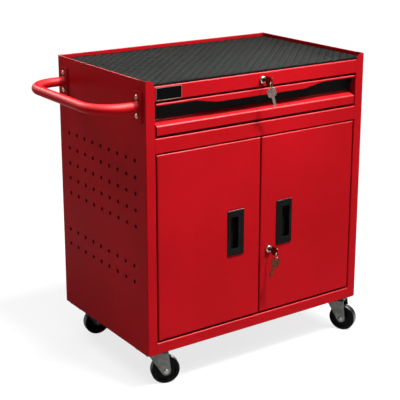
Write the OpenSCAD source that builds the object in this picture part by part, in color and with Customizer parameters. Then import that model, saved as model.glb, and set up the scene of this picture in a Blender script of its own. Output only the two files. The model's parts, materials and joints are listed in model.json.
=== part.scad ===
// Two-door roller tool cabinet: folded sheet body, one drawer on ball slides,
// peg-hole sides, a rubber worktop, a tube handle and four swivel casters.
// Millimetres, X to the right, Y to the rear, Z up from the floor.

/* [Body] */
// Width over the side panels
body_w = 690; // [620:5:820]
// Depth from the front face to the rear flanges
body_d = 440; // [425:5:500]
// Height without the casters
body_h = 700; // [680:5:860]
// Thickness of the body sheet
sheet_t = 1; // [0.8:0.1:1.2]
// Middle-line radius of a sheet bend
bend_r = 2; // [1.4:0.1:2.4]
// Width of each front stile
stile_w = 27; // [26:1:32]
// Depth that stiles and rails turn back behind the front
return_d = 20; // [19:0.5:20.5]
// Width of the flanges that join the panels
flange_w = 15; // [12:1:18]
// Height of the lips above the deck
lip_h = 15; // [12:1:20]
// Thickness of the hem along a lip
hem_w = 3; // [2.8:0.2:3.6]
// Height of the hem along a lip
hem_h = 10; // [8:1:11]
// Radius of the lower front corners
foot_r = 8; // [4:1:10]
// Height of the top rail
top_rail_h = 37; // [34:1:44]
// Height of the middle rail
middle_rail_h = 38; // [32:1:50]
// Height of the bottom rail
bottom_rail_h = 30; // [26:1:50]

/* [Worktop and shelf] */
// Thickness of the worktop mat
mat_t = 5; // [3:0.5:8]
// Distance of the mat behind the front face
mat_set_back = 3; // [2.5:0.5:10]
// Height of the shelf as a share of the cupboard opening
shelf_share = 0.502; // [0.44:0.002:0.56]
// Distance of the shelf behind the front face
shelf_set_back = 45; // [35:1:80]
// Depth of the shelf's turned-down edges
shelf_flange = 20; // [12:1:30]
// Leg width of the angles under the shelf
angle_w = 18; // [14:1:25]

/* [Peg holes] */
// Diameter of a peg hole
peg_d = 9.5; // [8:0.5:11]
// Distance between neighbouring peg holes
peg_pitch = 42; // [38:0.5:43]
// Holes in a row
peg_columns = 9; // [5:1:9]
// Rows above the shelf
upper_rows = 5; // [2:1:5]
// Rows below the shelf
lower_rows = 2; // [1:1:3]
// Distance of the top row below the middle rail
upper_row_drop = 22; // [18:0.5:40]
// Distance of the first lower row below the shelf
lower_row_drop = 51.5; // [48:0.5:90]
// Shift of the lower rows to the rear
lower_shift = 10; // [0:1:20]

/* [Drawer] */
// Height of the drawer opening
drawer_open_h = 90; // [88:1:110]
// Gap at each side of the drawer front
drawer_side_gap = 4; // [2:0.5:6]
// Gap over the drawer front
drawer_top_gap = 5; // [3:0.5:6]
// Gap under the drawer front
drawer_bottom_gap = 6; // [4:0.5:9]
// Height of the face under the finger recess
face_h = 24; // [18:1:26]
// Depth of the finger recess
ledge_d = 28.1; // [27:0.1:34]
// Rise of the ledge for every 24 of its depth
ledge_slope = 7; // [3:1:8]
// Middle-line radius of the fold between the face and the ledge
ledge_bend = 5; // [3:0.5:6]
// Height of the hanging lip at the ends
lip_end_h = 5; // [4:0.5:8]
// Height of the hanging lip in the middle
lip_mid_h = 16; // [12:1:18]
// Half length of the deep middle of the lip
wave_inner = 141; // [100:1:180]
// Half length out to the shallow ends of the lip
wave_outer = 202; // [185:1:250]
// Height of the drawer box walls
box_h = 66; // [55:1:68]
// Gap between the drawer box and the back panel
box_rear_gap = 20; // [10:1:40]
// Thickness of the black recess liner
liner_t = 1.5; // [1:0.1:2]
// Height of a liner cheek at the front
cheek_front_h = 15; // [8:1:18]
// Height of a liner cheek at the rear
cheek_rear_h = 24; // [18:1:28]

/* [Drawer slides] */
// Width of a slide between its bracket and the drawer box
slide_space = 13; // [12.6:0.2:14]
// Height of the outer slide member
slide_h = 35; // [33:1:38]
// Distance of a slide's ends from the ends of the drawer box
slide_end_gap = 2; // [1:0.5:15]
// Thickness of the slide steel
slide_t = 1.2; // [1:0.1:1.3]
// Travel of the drawer
slide_travel = 285; // [200:5:290]
// Length of a ball cage
cage_len = 90; // [70:5:95]
// Diameter of a slide ball
ball_d = 4.4; // [4:0.1:4.5]
// Balls in each row
row_balls = 5; // [3:1:6]

/* [Doors] */
// Gap between a door and its stile
door_side_gap = 4; // [3.6:0.1:5]
// Gap between the two doors
door_meet_gap = 4; // [3:0.5:6]
// Gap over the doors
door_top_gap = 3; // [2.5:0.5:5]
// Gap under the doors
door_bottom_gap = 6; // [4:0.5:8]
// Depth of a door pan
door_d = 18; // [17:0.5:19]
// Width of the lip inside a door pan
door_lip = 10; // [8:1:14]
// Distance of the pivot from the hinge edge of the door
pivot_in = 10; // [9.5:0.5:14]
// Diameter of a pivot pin
pin_d = 6; // [5:0.5:6]
// Diameter of the barrel of a pivot bush
bush_d = 9; // [8.5:0.5:10]
// Depth that a pivot bush reaches into the door
bush_len = 10; // [6:1:14]
// Diameter of the rod of the left door's bolt
rod_d = 6; // [5:0.5:7]
// Travel of the left door's bolt
bolt_travel = 12; // [8:1:14]
// Distance of the bolt from the meeting edge
bolt_in = 20; // [18:1:40]

/* [Door pulls] */
// Width of a pull
pull_w = 52; // [48:1:60]
// Height of a pull
pull_h = 122; // [110:1:140]
// Distance of a pull's middle from the meeting line
pull_x = 79; // [70:1:110]
// Height of a pull's middle as a share of the door
pull_share = 0.5; // [0.42:0.005:0.58]
// Width of the mouth of a pull
mouth_w = 24; // [20:1:28]
// Height of the mouth of a pull
mouth_h = 86; // [70:1:95]
// Shift of the mouth towards the hinge side
mouth_shift = 5; // [0:0.5:6]
// Thickness of the rim on the door
rim_t = 2.5; // [2:0.1:4]
// Width that the rim stands over the cup
rim_over = 3.5; // [3:0.5:5]
// Depth of the cup behind the door face
cup_d = 15; // [12:0.5:16]
// Wall of the cup
cup_wall = 2; // [1.5:0.1:2.5]

/* [Locks and keys] */
// Distance of the door lock from the meeting line
door_lock_x = 28; // [26:1:29]
// Distance of the door lock below the middle of the pulls
door_lock_drop = 66; // [64:0.5:140]
// Diameter of a lock head
head_d = 18; // [17.5:0.5:22]
// Height of a lock head
head_h = 7; // [5:0.5:10]
// Diameter of a lock barrel
barrel_d = 16; // [15:0.5:17]
// Length of a lock barrel behind the front face
barrel_len = 21; // [21:0.1:21.4]
// Diameter of a lock plug
plug_d = 11; // [10:0.5:12]
// Length of a lock cam from its axis to its tip
cam_len = 36; // [35:0.5:37]
// Thickness of a lock cam
cam_t = 2; // [1.5:0.1:2.2]
// Thickness of a key
key_t = 2; // [1.6:0.1:2.4]
// Height of a key blade
blade_h = 7; // [6:0.2:7.5]
// Length of a key blade in the plug
blade_len = 20; // [15:1:22]
// Length of a key between the lock and its bow
neck_len = 8; // [5:1:12]
// Length of a key bow
bow_len = 26; // [22:1:28]
// Width of a key bow
bow_w = 23; // [20:1:26]
// Middle-line radius of a key ring
ring_r = 9; // [8.5:0.1:9.3]
// Diameter of the key ring wire
wire_d = 1.8; // [1.4:0.1:2]

/* [Handle] */
// Diameter of the handle tube
tube_d = 25; // [22:0.5:28]
// Wall of the handle tube
tube_wall = 1.5; // [1:0.1:2]
// Distance of the tube's middle from the side panel
handle_reach = 110; // [95:1:130]
// Middle-line radius of the tube bends
tube_bend = 75; // [50:1:85]
// Distance of the handle legs from the front and the rear of the body
leg_in = 34; // [30:1:70]
// Distance of the handle below the top of the body
handle_down = 65; // [64.5:0.5:69]
// Width of an end plate
plate_w = 40; // [36:1:46]
// Height of an end plate
plate_h = 77; // [70:1:84]
// Thickness of an end plate
plate_t = 3; // [2:0.5:4]
// Distance between the two screws of an end plate
screw_pitch = 46; // [44:1:48]
// Diameter of a handle screw
screw_d = 6; // [4:0.5:6]

/* [Casters] */
// Height of a caster
caster_h = 100; // [98:1:104]
// Diameter of a wheel
wheel_d = 75; // [68:1:75]
// Width of a wheel's tread
wheel_w = 24; // [20:1:26]
// Distance of the axle behind the swivel axis
trail = 30; // [18:1:32]
// Distance of the swivel axes from the side panels
caster_in_x = 40; // [40:1:90]
// Distance of the swivel axes from the front and the rear of the body
caster_in_y = 43; // [41:1:70]
// Length of a top plate
top_plate_l = 76; // [70:1:80]
// Width of a top plate
top_plate_w = 66; // [62:1:72]
// Thickness of a top plate
top_plate_t = 2.5; // [2:0.5:3]
// Thickness of the fork steel
fork_t = 2.5; // [2:0.1:3]
// Inside width of a fork
fork_gap = 30; // [30:0.5:34]
// Diameter of an axle
axle_d = 8; // [6:0.5:10]
// Diameter of a kingpin
kingpin_d = 10; // [8:0.5:11]
// Turn of the front left caster
turn_front_left = -20; // [-180:1:180]
// Turn of the front right caster
turn_front_right = -63; // [-180:1:180]
// Turn of the rear left caster
turn_rear_left = -8; // [-180:1:180]
// Turn of the rear right caster
turn_rear_right = -80; // [-180:1:180]

/* [Fits] */
// Radial clearance of a pin, plug or axle that turns
run_fit = 0.05; // [0.03:0.01:0.08]
// Clearance of a piece that lies loose in its place
loose_fit = 0.3; // [0.2:0.05:0.4]

/* [Hidden] */
$fn = 64;

red = [0.76, 0.09, 0.12];
black = [0.06, 0.06, 0.06];
rubber = [0.24, 0.24, 0.23];
zinc = [0.62, 0.62, 0.6];
steel = [0.78, 0.78, 0.78];
nylon = [0.08, 0.08, 0.08];

// Small overlap of a cutting tool, and the middle of the sheet
cut = 1;
half_t = sheet_t / 2;

// Main faces and heights
front = -body_d / 2;
rear = body_d / 2;
side = body_w / 2;
inner_side = side - sheet_t;
opening_x = side - stile_w;
base_z = caster_h;
top_z = base_z + body_h;
deck_z = top_z - lip_h;
top_rail_z = deck_z - top_rail_h;
middle_rail_z = top_rail_z - drawer_open_h - middle_rail_h;
bottom_rail_z = base_z + bottom_rail_h;
back_y = rear - sheet_t;
inner_back = back_y - sheet_t;
inner_bend = bend_r - half_t;
ear_x = opening_x + bend_r + half_t;
wing_end = back_y - inner_bend - loose_fit;
hem_r = (hem_w - sheet_t) * 0.4;
shelf_z = bottom_rail_z + shelf_share * (middle_rail_z - bottom_rail_z);
upper_row_z = middle_rail_z - upper_row_drop;
lower_row_z = shelf_z - lower_row_drop;

// Drawer and slides
drawer_x = opening_x - drawer_side_gap;
drawer_z = top_rail_z - drawer_open_h + drawer_bottom_gap;
drawer_top = top_rail_z - drawer_top_gap;
ledge_y = front + ledge_d;
ledge_rise = (ledge_d - half_t) * ledge_slope / 24;
recess_wall_y = ledge_y - half_t;
box_x = opening_x - slide_space;
box_front = ledge_y + half_t;
box_back = inner_back - box_rear_gap;
box_z = drawer_z + 3 * sheet_t;
bottom_return = ledge_d - 3 * bend_r;
rail_lip = drawer_bottom_gap - 1.5 * sheet_t;
slot_play = 1.2;
slide_z = box_z + box_h / 2;
slide_y = box_front + slide_end_gap;
slide_len = box_back - box_front - 2 * slide_end_gap;
slide_bend = slide_t * 5 / 6;
slide_lip = 2.5;
ball_play = 0.2;
ball_a = slide_space * 0.47;
ball_b = slide_h / 2 - slide_t - ball_d / 2 - ball_play;
inner_b = ball_b - ball_d / 2 - ball_play - slide_t / 2;
cage_t = slide_t / 2;
cage_y = slide_y + (slide_len - cage_len) / 2;
bracket_h = slide_h + 2 * sheet_t;

// Doors and their pivots
door_w = opening_x - door_side_gap - door_meet_gap / 2;
door_x = door_meet_gap / 2 + door_w / 2;
door_z = bottom_rail_z + door_bottom_gap;
door_h = middle_rail_z - door_top_gap - door_z;
door_top = door_z + door_h;
pivot_x = opening_x - door_side_gap - pivot_in;
pivot_y = front + door_d / 2;
pin_head_d = pin_d + 4;
pin_head_h = pin_d / 3;
bush_flange_d = bush_d + 4;
bush_flange_h = door_top_gap / 2;
pull_z = door_z + pull_share * door_h;
cup_w = pull_w - 2 * rim_over;
cup_h = pull_h - 2 * rim_over;
cup_r = 3;
pull_r = 4;
rim_soft = rim_t * 0.6;
mouth_edge = 0.5;
snap_w = 20;
snap_d = 3;
snap_out = 1.3;
snap_play = 0.1;
bolt_x = -(door_meet_gap / 2 + bolt_in);
bolt_y = front + door_d / 2;
guide_w = rod_d + 10;
guide_d = door_d - 3 * sheet_t;
guide_h = 10;
guide_z = door_top - door_lip - guide_h - 7;
knob_d = rod_d;
knob_len = 16;
guide_gap = bolt_travel + knob_d + 2;

// Locks and keys
door_lock_z = pull_z - door_lock_drop;
drawer_lock_z = (top_rail_z + deck_z) / 2;
head_soft = head_h / 7;
lock_nut_w = barrel_d * 1.5;
lock_nut_h = 4;
cam_y = barrel_len + 1;
cam_hub_r = barrel_d / 2;
cam_tip_r = cam_len / 6;
cam_screw_d = plug_d - 2;
plug_flange_d = plug_d + 2;
plug_flange_h = 1.5;
plug_seat = plug_flange_h + loose_fit;
drive_w = plug_d * 6 / 11;
drive_play = 0.05;
key_play = 0.1;
key_hole_d = 5;
key_hole_in = 4.5;
bow_r = bow_len * 7 / 26;
bow_end = head_h + neck_len + bow_len;
key_hole_y = bow_end - key_hole_in;
ring_play = 0.35;
hang = key_hole_d / 2 - wire_d / 2 - ring_play;
ring_yaw = 35;
spare_yaw = 70;
spare_tilt = 20;

// Handle
handle_z = top_z - handle_down;
handle_x = side + handle_reach;
leg_y = body_d / 2 - leg_in;
plate_r = plate_w / 8;
screw_head_d = 2 * screw_d;
screw_head_h = screw_d / 2;
screw_nut_w = 10 / cos(30) * screw_d / 6;
screw_nut_h = screw_d * 5 / 6;
screw_tail = screw_d / 3;

// Casters
caster_x = side - caster_in_x;
caster_y = body_d / 2 - caster_in_y;
axle_z = wheel_d / 2;
race_h = 2 * top_plate_t;
race_r = 1.8 * kingpin_d;
race_flare = race_h;
crown_z = base_z - top_plate_t - race_h - loose_fit;
top_plate_r = top_plate_w / 11;
caster_bolt_d = 6;
bolt_head_d = caster_bolt_d * 11 / 6;
bolt_head_h = caster_bolt_d / 2;
bolt_nut_h = caster_bolt_d * 2 / 3;
bolt_px = top_plate_l / 2 - caster_bolt_d * 4 / 3;
bolt_py = top_plate_w / 2 - caster_bolt_d * 3 / 2;
pin_top_h = top_plate_t / 2;
pin_top_d = 1.5 * kingpin_d;
pin_foot_h = 0.3 * kingpin_d;
pin_foot_d = 1.8 * kingpin_d;
fork_x = fork_gap / 2 + fork_t / 2;
fork_bend = 1.6 * fork_t;
fork_rear = 2 * kingpin_d;
fork_fore = trail + 6;
fork_eye = 1.5 * axle_d;
axle_head_d = 1.7 * axle_d;
axle_head_h = axle_d / 2;
axle_nut_d = 1.8 * axle_d;
axle_nut_h = 0.7 * axle_d;
axle_tail = axle_nut_h + axle_d / 5;
wheel_hub_r = wheel_d * 0.17;
wheel_rim_r = wheel_d * 0.38;
wheel_web_w = wheel_w * 0.58;
shoulder = wheel_w * 0.2;
casters = [
    [-caster_x, -caster_y, turn_front_left],
    [caster_x, -caster_y, turn_front_right],
    [-caster_x, caster_y, turn_rear_left],
    [caster_x, caster_y, turn_rear_right]];

// The origin is under the middle of the box round everything
front_reach = key_hole_y + ring_r * sin(ring_yaw) + wire_d / 2;
origin_x = (handle_reach + tube_d / 2) / 2;
origin_y = front_reach / 2;

// Heading of one leg of a path, the turn at one of its points and the length that the bend takes up
function heading(path, i) = atan2(path[i + 1][1] - path[i][1], path[i + 1][0] - path[i][0]);
function wrap(a) = a > 180 ? a - 360 : a < -180 ? a + 360 : a;
function turn(path, i) = wrap(heading(path, i) - heading(path, i - 1));
function is_end(path, i) = i == 0 || i == len(path) - 1;
function radius(r, i) = is_list(r) ? r[i] : r;
function setback(path, i, r) = is_end(path, i) ? 0 : radius(r, i) * tan(abs(turn(path, i)) / 2);

// Point where the tangent from a point touches a circle, on the left (1) or the right (-1)
function tangent(p, c, r, hand) =
    let (d = p - c, a = atan2(d[1], d[0]) + hand * acos(r / norm(d)))
    c + r * [cos(a), sin(a)];

// Runs a section drawn in depth and height along the width
module along_x(x0, x1) {
    translate([x0, 0, 0]) rotate([90, 0, 90]) linear_extrude(x1 - x0) children();
}

// Runs a section drawn in width and height along the depth
module along_y(y0, y1) {
    translate([0, y1, 0]) rotate([90, 0, 0]) linear_extrude(y1 - y0) children();
}

// Runs a plan upwards
module along_z(z0, z1) {
    translate([0, 0, z0]) linear_extrude(z1 - z0) children();
}

// Draws a piece and its mirror image across the middle of the cabinet
module both_sides() {
    children();
    mirror([1, 0, 0]) children();
}

// Sets the cabinet on its origin
module stand() {
    translate([origin_x, origin_y, 0]) children();
}

// Ring segment of a bend
module bend_arc(from, sweep, r, t) {
    reach = 2 * (r + t);
    intersection() {
        difference() {
            circle(r + t / 2);
            circle(r - t / 2);
        }
        polygon(concat([[0, 0]],
            [for (k = [0 : 2]) reach * [cos(from + k * sweep / 2), sin(from + k * sweep / 2)]]));
    }
}

// Section of a folded sheet whose middle line runs through the points, with one radius or one for each point
module folded(path, t = sheet_t, r = bend_r) {
    last = len(path) - 1;
    for (i = [0 : last - 1]) {
        start = setback(path, i, r);
        stop = norm(path[i + 1] - path[i]) - setback(path, i + 1, r);
        from = is_end(path, i) ? start : start - t / 4;
        to = is_end(path, i + 1) ? stop : stop + t / 4;
        translate(path[i]) rotate(heading(path, i)) {
            translate([start, -t / 2]) square([stop - start, t]);
            translate([from, -t / 4]) square([to - from, t / 2]);
        }
    }
    for (i = [1 : last - 1]) {
        hand = sign(turn(path, i));
        bend = radius(r, i);
        translate(path[i]) rotate(heading(path, i - 1)) translate([-setback(path, i, r), hand * bend])
            bend_arc(-90 * hand, turn(path, i), bend, t);
    }
}

// What a round corner takes off a square one, whose tip is at the origin
module corner_cut(r) {
    difference() {
        translate([-r, -r]) square(r + cut);
        translate([-r, -r]) circle(r);
    }
}

module round_rect(w, h, r) {
    square([w - 2 * r, h], center = true);
    square([w, h - 2 * r], center = true);
    for (x = [-1, 1], y = [-1, 1]) translate([x * (w / 2 - r), y * (h / 2 - r)]) circle(r);
}

// Rectangle from 0 to d whose two front corners are round
module round_front(w, d, r) {
    translate([-w / 2, r]) square([w, d - r]);
    translate([-w / 2 + r, 0]) square([w - 2 * r, d]);
    for (x = [-1, 1]) translate([x * (w / 2 - r), r]) circle(r);
}

// Block with round edges all round its front face
module soft_block(w, d, h, r) {
    intersection() {
        along_z(0, h) round_front(w, d, r);
        along_x(-w / 2, w / 2) translate([0, h / 2]) mirror([1, -1]) round_front(h, d, r);
    }
}

// Sheet pan that opens to the rear, with its edges turned back
module pan(w, d, h) {
    outer_r = bend_r + half_t;
    difference() {
        soft_block(w, d, h, outer_r);
        translate([0, sheet_t, sheet_t]) soft_block(w - 2 * sheet_t, d, h - 2 * sheet_t, outer_r - sheet_t);
    }
}

// Round hole along Y through a front sheet
module front_hole(x, z, d) {
    translate([x, front + 2 * bend_r, z]) rotate([90, 0, 0]) cylinder(d = d, h = 3 * bend_r);
}

module peg_rows(rows, top, shift) {
    for (r = [0 : rows - 1], c = [0 : peg_columns - 1])
        translate([-side - cut, shift + (c - (peg_columns - 1) / 2) * peg_pitch, top - r * peg_pitch])
            rotate([0, 90, 0]) cylinder(d = peg_d, h = sheet_t + 2 * cut);
}

// Places a child at each handle screw of the left side
module handle_screw_places() {
    for (y = [-leg_y, leg_y], z = [-1, 1])
        translate([-side, y, handle_z + z * screw_pitch / 2]) rotate([0, 90, 0]) children();
}

// Side sheet with its front stile, rear flange and hemmed lip, on the left
module side_sheet() {
    hem_end = inner_back - hem_w;
    difference() {
        along_z(base_z, top_z) folded([
            [-opening_x - half_t, front + return_d],
            [-opening_x - half_t, front + half_t],
            [-side + half_t, front + half_t],
            [-side + half_t, rear - half_t],
            [-side + flange_w, rear - half_t]]);
        along_y(front - cut, front + return_d + cut) translate([-ear_x, top_z]) {
            corner_cut(lip_h);
            translate([0, -lip_h]) square([side - ear_x, lip_h + cut]);
        }
        along_y(front - cut, front + foot_r) translate([-side, base_z]) rotate(180) corner_cut(foot_r);
        translate([-side - cut, front + stile_w, top_z - hem_h])
            cube([hem_w + cut, hem_end - front - stile_w, hem_h + cut]);
        peg_rows(upper_rows, upper_row_z, 0);
        peg_rows(lower_rows, lower_row_z, lower_shift);
    }
    along_y(front + stile_w, hem_end) folded([
        [-side + half_t, top_z - hem_h],
        [-side + half_t, top_z - half_t],
        [-side + hem_w - half_t, top_z - half_t],
        [-side + hem_w - half_t, top_z - hem_h]], r = hem_r);
}

module left_side_panel() {
    color(red) difference() {
        side_sheet();
        handle_screw_places() translate([0, 0, -cut])
            cylinder(d = screw_d + 2 * loose_fit, h = sheet_t + 2 * cut);
    }
}

module right_side_panel() {
    color(red) mirror([1, 0, 0]) side_sheet();
}

module back_panel() {
    mid = back_y - half_t;
    lip = mid - hem_w + sheet_t;
    half_w = inner_side - inner_bend - loose_fit;
    color(red) along_x(-half_w, half_w) folded([
        [mid, base_z],
        [mid, top_z - half_t],
        [lip, top_z - half_t],
        [lip, top_z - hem_h]], r = hem_r);
}

// Side wing of the bottom or the deck, outside the stile line, with its flange up (1) or down (-1)
module side_wing(z, up) {
    along_y(front + return_d + loose_fit, wing_end) folded([
        [-opening_x, z],
        [-inner_side + half_t, z],
        [-inner_side + half_t, z + up * (flange_w - half_t)]]);
}

module bottom_panel() {
    color(red) difference() {
        union() {
            along_x(-opening_x, opening_x) folded([
                [inner_back - half_t, base_z + flange_w],
                [inner_back - half_t, base_z + half_t],
                [front + half_t, base_z + half_t],
                [front + half_t, bottom_rail_z - half_t],
                [front + return_d, bottom_rail_z - half_t]]);
            both_sides() side_wing(base_z + half_t, 1);
        }
        both_sides() translate([pivot_x, pivot_y, bottom_rail_z - sheet_t - cut])
            cylinder(d = pin_d + 2 * run_fit, h = sheet_t + 2 * cut);
        caster_bolt_places() translate([0, 0, -cut])
            cylinder(d = caster_bolt_d + 2 * loose_fit, h = sheet_t + 2 * cut);
    }
}

// Deck with the top rail folded from its front edge
module top_panel() {
    cap_y = front + sheet_t + bend_r;
    cap_x0 = -inner_side + bend_r;
    cap_x1 = -opening_x - sheet_t - loose_fit;
    color(red) difference() {
        union() {
            along_x(-opening_x, opening_x) folded([
                [front + return_d, top_rail_z + half_t],
                [front + half_t, top_rail_z + half_t],
                [front + half_t, deck_z - half_t],
                [inner_back - half_t, deck_z - half_t],
                [inner_back - half_t, deck_z - flange_w]]);
            both_sides() side_wing(deck_z - half_t, -1);
            both_sides() translate([cap_x0, cap_y, deck_z - sheet_t])
                cube([cap_x1 - cap_x0, return_d + loose_fit + cut - sheet_t - bend_r, sheet_t]);
        }
        front_hole(0, drawer_lock_z, barrel_d + 2 * loose_fit);
    }
}

// Channel between drawer and doors, whose upper flange ends in a lip under the drawer
module middle_rail() {
    top = middle_rail_z + middle_rail_h;
    color(red) difference() {
        along_x(-opening_x, opening_x) folded([
            [front + return_d - half_t, top + rail_lip],
            [front + return_d - half_t, top - half_t],
            [front + half_t, top - half_t],
            [front + half_t, middle_rail_z + half_t],
            [front + return_d, middle_rail_z + half_t]]);
        both_sides() translate([pivot_x, pivot_y, middle_rail_z - cut])
            cylinder(d = pin_d + 2 * run_fit, h = sheet_t + 2 * cut);
        translate([bolt_x, bolt_y, middle_rail_z - cut])
            cylinder(d = rod_d + 4 * loose_fit, h = sheet_t + 2 * cut);
    }
}

module top_mat() {
    mat_x = side - hem_w - loose_fit;
    mat_y = front + mat_set_back;
    mat_end = inner_back - hem_w - loose_fit;
    color(rubber) translate([-mat_x, mat_y, deck_z]) cube([2 * mat_x, mat_end - mat_y, mat_t]);
}

module shelf() {
    shelf_y = front + shelf_set_back + half_t;
    shelf_end = inner_back - half_t - loose_fit;
    shelf_x = inner_side - loose_fit;
    color(red) along_x(-shelf_x, shelf_x) folded([
        [shelf_y + flange_w, shelf_z - shelf_flange + half_t],
        [shelf_y, shelf_z - shelf_flange + half_t],
        [shelf_y, shelf_z - half_t],
        [shelf_end, shelf_z - half_t],
        [shelf_end, shelf_z - shelf_flange]]);
}

module shelf_angles() {
    top = shelf_z - sheet_t;
    angle_y = front + shelf_set_back + 2 * flange_w;
    color(red) both_sides() along_y(angle_y, inner_back - flange_w) folded([
        [-inner_side + half_t, top - angle_w],
        [-inner_side + half_t, top - half_t],
        [-inner_side + angle_w, top - half_t]]);
}

module tube_section() {
    difference() {
        circle(d = tube_d);
        circle(d = tube_d - 2 * tube_wall);
    }
}

// Tube bent twice, with both legs square to the side panel
module handle_tube() {
    leg_x = side + plate_t;
    bend_x = handle_x - tube_bend;
    bend_y = leg_y - tube_bend;
    color(red) translate([0, 0, handle_z]) {
        along_y(-bend_y, bend_y) translate([-handle_x, 0]) tube_section();
        for (s = [-1, 1]) {
            translate([-bend_x, s * leg_y, 0]) rotate([0, 90, 0])
                linear_extrude(bend_x - leg_x) tube_section();
            translate([-bend_x, s * bend_y, 0]) rotate(s > 0 ? 90 : 180) rotate_extrude(angle = 90)
                translate([tube_bend, 0]) tube_section();
        }
    }
}

module handle_plates() {
    color(red) difference() {
        for (y = [-leg_y, leg_y])
            translate([-side - plate_t, y, handle_z]) rotate([90, 0, 90]) linear_extrude(plate_t)
                round_rect(plate_w, plate_h, plate_r);
        handle_screw_places() translate([0, 0, -plate_t - cut])
            cylinder(d = screw_d + 2 * loose_fit, h = plate_t + 2 * cut);
    }
}

// Pan head, shank and a nut that stands with its flats up and down
module handle_screws() {
    grip = plate_t + sheet_t;
    dome_h = screw_head_h / 2;
    color(steel) handle_screw_places() translate([0, 0, -plate_t]) {
        translate([0, 0, -screw_head_h]) cylinder(d1 = screw_head_d * 0.7, d2 = screw_head_d, h = dome_h);
        translate([0, 0, -dome_h]) cylinder(d = screw_head_d, h = dome_h);
        cylinder(d = screw_d, h = grip + screw_nut_h + screw_tail);
        translate([0, 0, grip]) rotate(30) cylinder(d = screw_nut_w, h = screw_nut_h, $fn = 6);
    }
}

// Hat section that carries a slide out to the stile line
module slide_brackets() {
    wing = bracket_h / 2 + flange_w;
    color(zinc) both_sides() along_y(front + return_d + loose_fit, wing_end)
        translate([0, slide_z]) folded([
            [-inner_side + half_t, wing],
            [-inner_side + half_t, bracket_h / 2 - half_t],
            [-opening_x - half_t, bracket_h / 2 - half_t],
            [-opening_x - half_t, -bracket_h / 2 + half_t],
            [-inner_side + half_t, -bracket_h / 2 + half_t],
            [-inner_side + half_t, -wing]]);
}

// Runs a slide section, drawn from its bracket towards the drawer, along both slides
module slide_run(y0, y1) {
    both_sides() along_y(y0, y1) translate([-opening_x, slide_z]) children();
}

module slide_outer_members() {
    web = slide_t / 2;
    flange_b = slide_h / 2 - slide_t / 2;
    lip_a = ball_a + ball_d / 2 + loose_fit + slide_t / 2;
    color(zinc) slide_run(slide_y, slide_y + slide_len) folded([
        [lip_a, flange_b - slide_lip],
        [lip_a, flange_b],
        [web, flange_b],
        [web, -flange_b],
        [lip_a, -flange_b],
        [lip_a, -flange_b + slide_lip]], t = slide_t, r = slide_bend);
}

module slide_inner_members() {
    web = slide_space - slide_t / 2;
    lip_a = ball_a - ball_d / 2 - loose_fit - slide_t / 2;
    lip_b = inner_b + slide_lip * 0.76;
    color(zinc) slide_run(slide_y, slide_y + slide_len) folded([
        [lip_a, lip_b],
        [lip_a, inner_b],
        [web, inner_b],
        [web, -inner_b],
        [lip_a, -inner_b],
        [lip_a, -lip_b]], t = slide_t, r = slide_bend);
}

// Places a child at each ball of both slides
module ball_places() {
    step = cage_len / row_balls;
    both_sides() for (k = [0 : row_balls - 1], s = [-1, 1])
        translate([-opening_x + ball_a, cage_y + (k + 0.5) * step, slide_z + s * ball_b]) children();
}

module ball_cages() {
    web = slide_t + loose_fit + cage_t / 2;
    tip = ball_a + ball_d / 2 + ball_play;
    color(steel) difference() {
        slide_run(cage_y, cage_y + cage_len)
            folded([[tip, ball_b], [web, ball_b], [web, -ball_b], [tip, -ball_b]], t = cage_t, r = cage_t);
        ball_places() cylinder(d = ball_d + loose_fit, h = 2 * cage_t, center = true);
    }
}

module slide_balls() {
    color(steel) ball_places() sphere(d = ball_d);
}

// Folded front: lower face, sloping ledge, recess wall, top and a hanging lip that is deeper in the middle
module drawer_front() {
    color(red) difference() {
        along_x(-drawer_x, drawer_x) folded([
            [front + bottom_return, drawer_z + half_t],
            [front + half_t, drawer_z + half_t],
            [front + half_t, drawer_z + face_h],
            [ledge_y, drawer_z + face_h + ledge_rise],
            [ledge_y, drawer_top - half_t],
            [front + half_t, drawer_top - half_t],
            [front + half_t, drawer_top - lip_mid_h]],
            r = [0, bend_r, ledge_bend, bend_r, bend_r, bend_r, 0]);
        both_sides() along_y(front - cut, front + 2 * bend_r) polygon([
            [wave_inner, drawer_top - lip_mid_h - cut],
            [wave_inner, drawer_top - lip_mid_h],
            [wave_outer, drawer_top - lip_end_h],
            [drawer_x + cut, drawer_top - lip_end_h],
            [drawer_x + cut, drawer_top - lip_mid_h - cut]]);
        cam_slot();
    }
}

// Slot through the top of the drawer front that the lock cam turns into
module cam_slot() {
    translate([-cam_len, front + cam_y - slot_play, drawer_top - sheet_t - liner_t - cut])
        cube([2 * cam_len, cam_t + 2 * slot_play, sheet_t + liner_t + 2 * cut]);
}

// Black strip on the wall and under the top of the recess, with a cheek at each end
module drawer_liner() {
    wall = recess_wall_y - liner_t / 2;
    ceiling = drawer_top - sheet_t - liner_t / 2;
    edge = front + 3 * bend_r;
    liner_x = drawer_x - bend_r;
    color(black) difference() {
        union() {
            along_x(-liner_x, liner_x) folded([
                [wall, drawer_z + face_h + ledge_rise + 2 * bend_r],
                [wall, ceiling],
                [edge, ceiling]], t = liner_t, r = bend_r);
            both_sides() along_x(liner_x - liner_t, liner_x) polygon([
                [edge, ceiling],
                [wall - liner_t / 2, ceiling - liner_t / 2],
                [wall, ceiling - cheek_rear_h],
                [edge, ceiling - cheek_front_h]]);
        }
        cam_slot();
    }
}

module drawer_box() {
    depth = box_back - box_front;
    color(red) translate([0, box_back, box_z]) rotate([90, 0, 0]) pan(2 * box_x, box_h, depth);
}

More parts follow.
